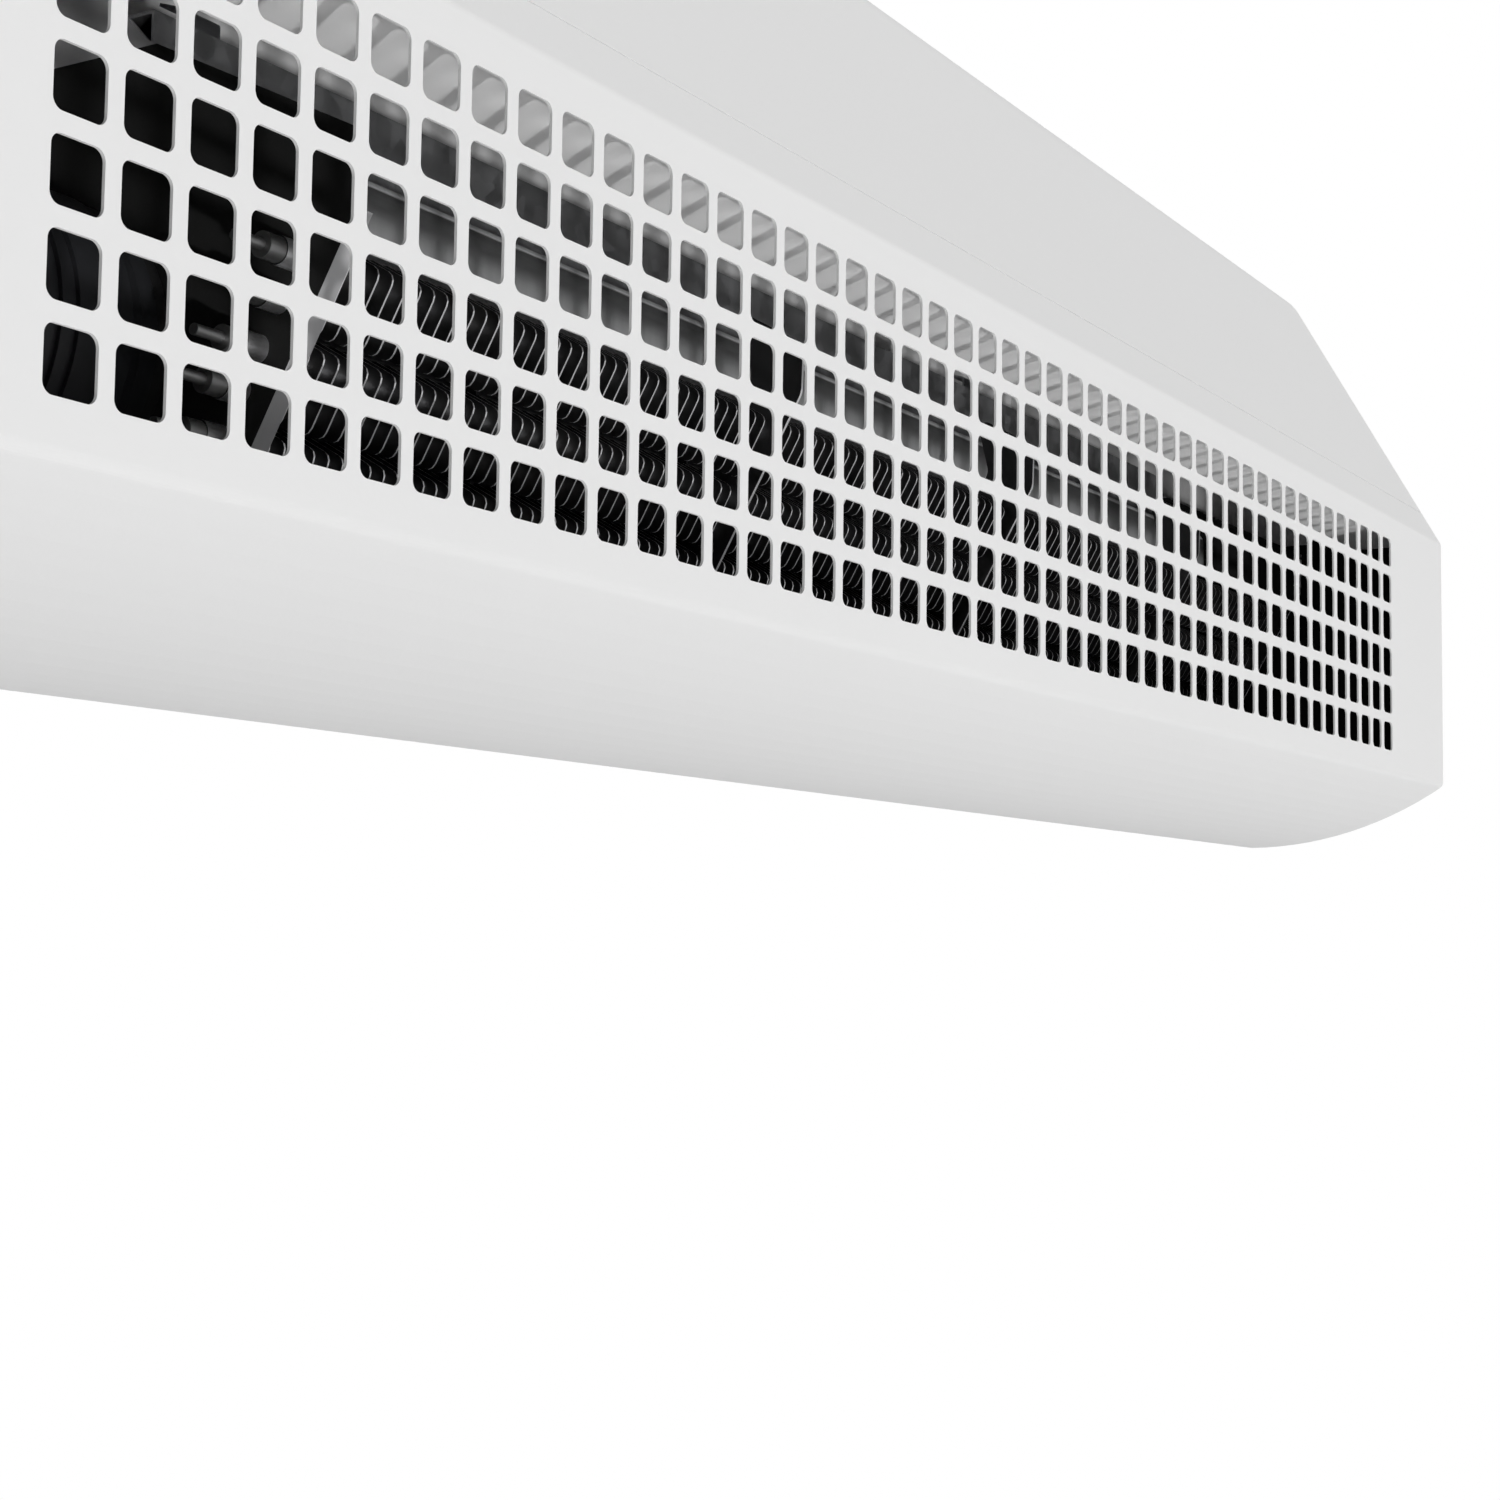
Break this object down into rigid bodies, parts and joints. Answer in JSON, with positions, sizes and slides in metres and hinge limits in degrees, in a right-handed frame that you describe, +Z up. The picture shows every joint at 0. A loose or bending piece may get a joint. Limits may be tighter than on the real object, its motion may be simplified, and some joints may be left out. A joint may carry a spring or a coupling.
{
  "type": "air_curtain",
  "caption": "Wall-hung air curtain with a perforated hinged front cover, sloping hood, finned electric heater, cross-flow fan and coupled outlet vanes.",
  "frame": {"origin": "centre of the four wall bolts, on the wall plane", "axes": "X along the unit (the picture's far end is +X), front faces -Y, Z up"},
  "size_m": [1.0448, 0.25, 0.3028],
  "materials": {
    "white_paint": "smooth white powder paint, satin",
    "zinc": "galvanised sheet, faint spangle",
    "bright_steel": "bright galvanised sheet, lightly polished",
    "spring_steel": "plain bright steel",
    "heater_steel": "dark finned steel",
    "black_plastic": "matt black",
    "black_paint": "satin black paint",
    "rubber": "matt black rubber",
    "brass": "plain brass",
    "board": "green circuit board",
    "pale_plastic": "pale grey moulding"
  },
  "bodies": {
    "base": {"wall_bracket": "zinc", "hanger_rail": "zinc", "back_plate": "white_paint", "hood": "white_paint", "seam_strip": "white_paint", "spring_clips": "spring_steel", "hinge_pins": "spring_steel", "end_panel_left": "white_paint", "end_panel_right": "white_paint", "end_angles": "zinc", "casing_screws": "spring_steel", "base_panel": "white_paint", "suspension_nuts": "spring_steel", "bulkhead_left": "zinc", "bulkhead_right": "zinc", "scroll": "zinc", "tongue_plate": "zinc", "motor": "black_paint", "motor_ring": "rubber", "motor_screws": "spring_steel", "bearing": "brass", "bearing_rubber": "rubber", "fan_rail": "bright_steel", "fan_cover": "zinc", "wire_clips": "spring_steel", "heater_lower_rail": "zinc", "heater_plates": "zinc", "heater_element_upper": "heater_steel", "heater_element_middle": "heater_steel", "heater_element_lower": "heater_steel", "heater_bends": "heater_steel", "heater_terminals": "brass", "thermostat": "black_plastic", "outlet_frame": "white_paint", "control_plate": "zinc", "control_board": "board", "terminal_block": "pale_plastic", "motor_capacitor": "pale_plastic", "cable_gland": "black_plastic"},
    "rotor": {"rotor_cage": "black_plastic", "motor_shaft": "spring_steel", "end_shaft": "spring_steel"},
    "cover": {"front_cover": "white_paint", "cover_ledge": "white_paint", "cover_ears": "zinc"},
    "vane_a": {"vane_front": "white_paint"},
    "vane_b": {"vane_middle": "white_paint"},
    "vane_c": {"vane_rear": "white_paint"},
    "link": {"vane_link": "spring_steel"}
  },
  "joints": [
    {"name": "rotor_spin", "type": "hinge", "parent": "base", "child": "rotor", "pos_m": [0, -0.0732, -0.145], "axis": [1, 0, 0], "continuous": true},
    {"name": "cover_open", "type": "hinge", "parent": "base", "child": "cover", "pos_m": [0, -0.147, -0.243], "axis": [1, 0, 0], "range_deg": [0, 80]},
    {"name": "vane_tilt", "type": "hinge", "parent": "base", "child": "vane_a", "pos_m": [0, -0.0982, -0.217], "axis": [1, 0, 0], "range_deg": [-20, 20]},
    {"name": "vane_tilt_b", "type": "hinge", "parent": "base", "child": "vane_b", "pos_m": [0, -0.0706, -0.217], "axis": [1, 0, 0], "range_deg": [-20, 20]},
    {"name": "vane_tilt_c", "type": "hinge", "parent": "base", "child": "vane_c", "pos_m": [0, -0.043, -0.217], "axis": [1, 0, 0], "range_deg": [-20, 20]},
    {"name": "link_slide", "type": "slide", "parent": "base", "child": "link", "axis": [0, -1, 0], "range_m": [-0.0028, 0.0028]}
  ],
  "couplings": [
    {"joint": "vane_tilt_b", "follows": "vane_tilt", "ratio": 1},
    {"joint": "vane_tilt_c", "follows": "vane_tilt", "ratio": 1},
    {"joint": "link_slide", "follows": "vane_tilt", "m_per_rad": 0.00788}
  ]
}
